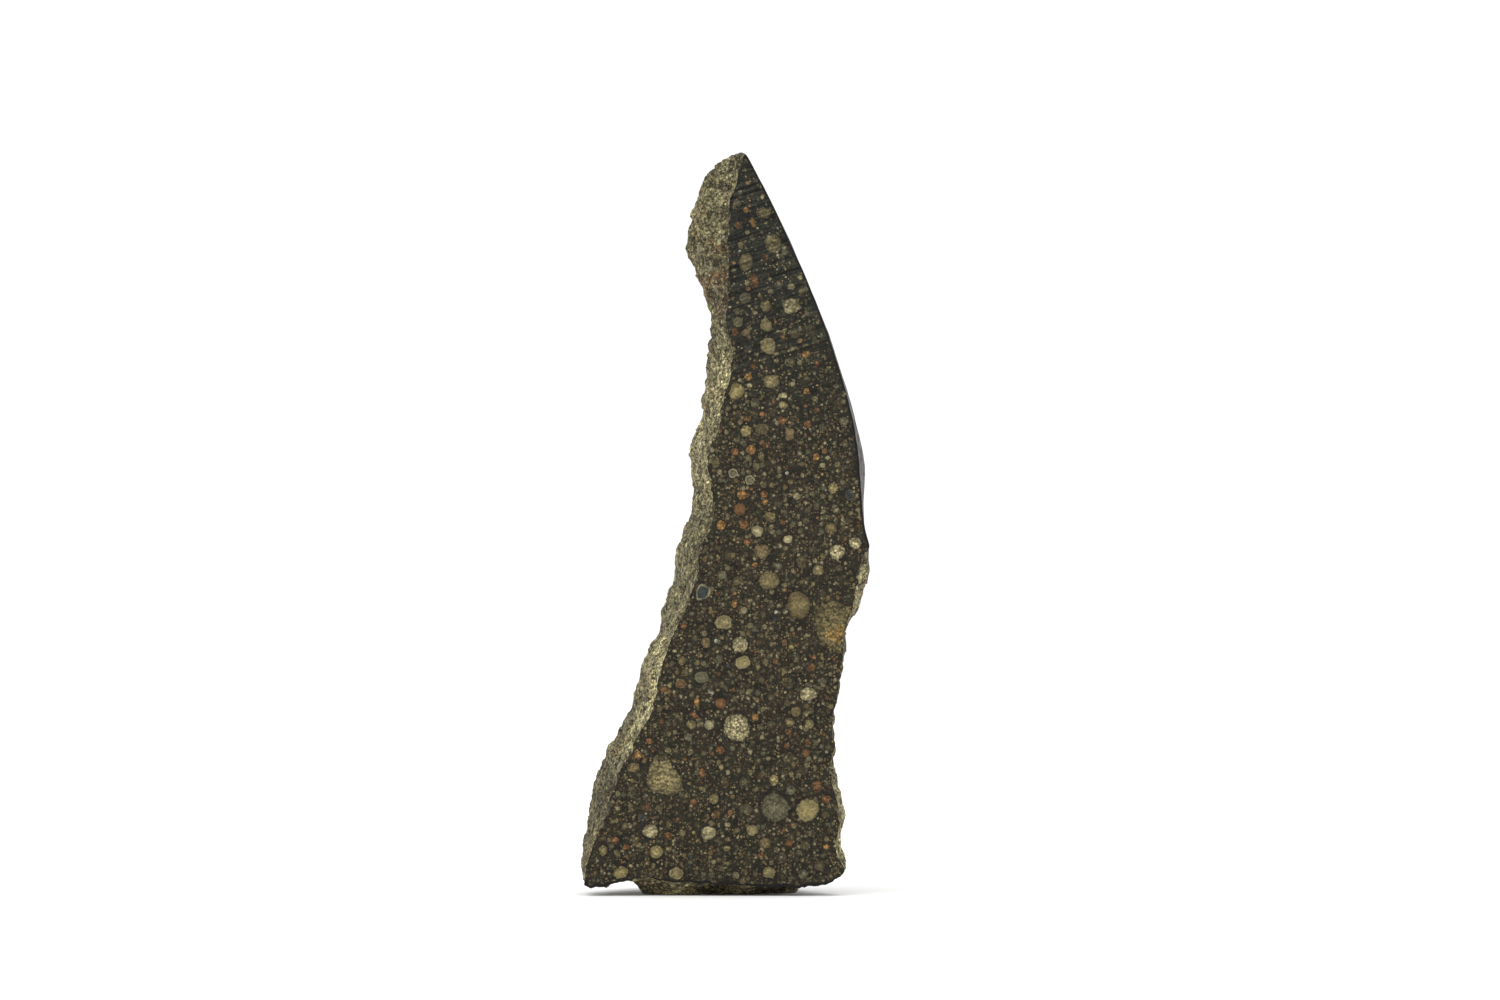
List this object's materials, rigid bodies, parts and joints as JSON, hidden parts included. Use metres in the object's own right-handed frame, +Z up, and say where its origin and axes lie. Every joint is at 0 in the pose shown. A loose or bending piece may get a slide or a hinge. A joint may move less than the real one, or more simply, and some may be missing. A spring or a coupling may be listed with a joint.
{
  "type": "stony meteorite fragment",
  "caption": "Small stony meteorite with a flat sawn face of round mineral grains, broken flanks and dark crust; stands on a small worn flat.",
  "frame": {"origin": "middle of the small worn flat that the stone stands on", "axes": "+Z up along the stone's longest extent; -Y is the way the sawn face looks; +X is to the right of a viewer of the sawn face"},
  "size_m": [0.0117, 0.0089, 0.03],
  "materials": {
    "stone": "olive-brown stone, finely speckled and dull, with a satin sawn face and darker smooth crust"
  },
  "bodies": {
    "root": {"meteorite": "stone"}
  },
  "joints": []
}
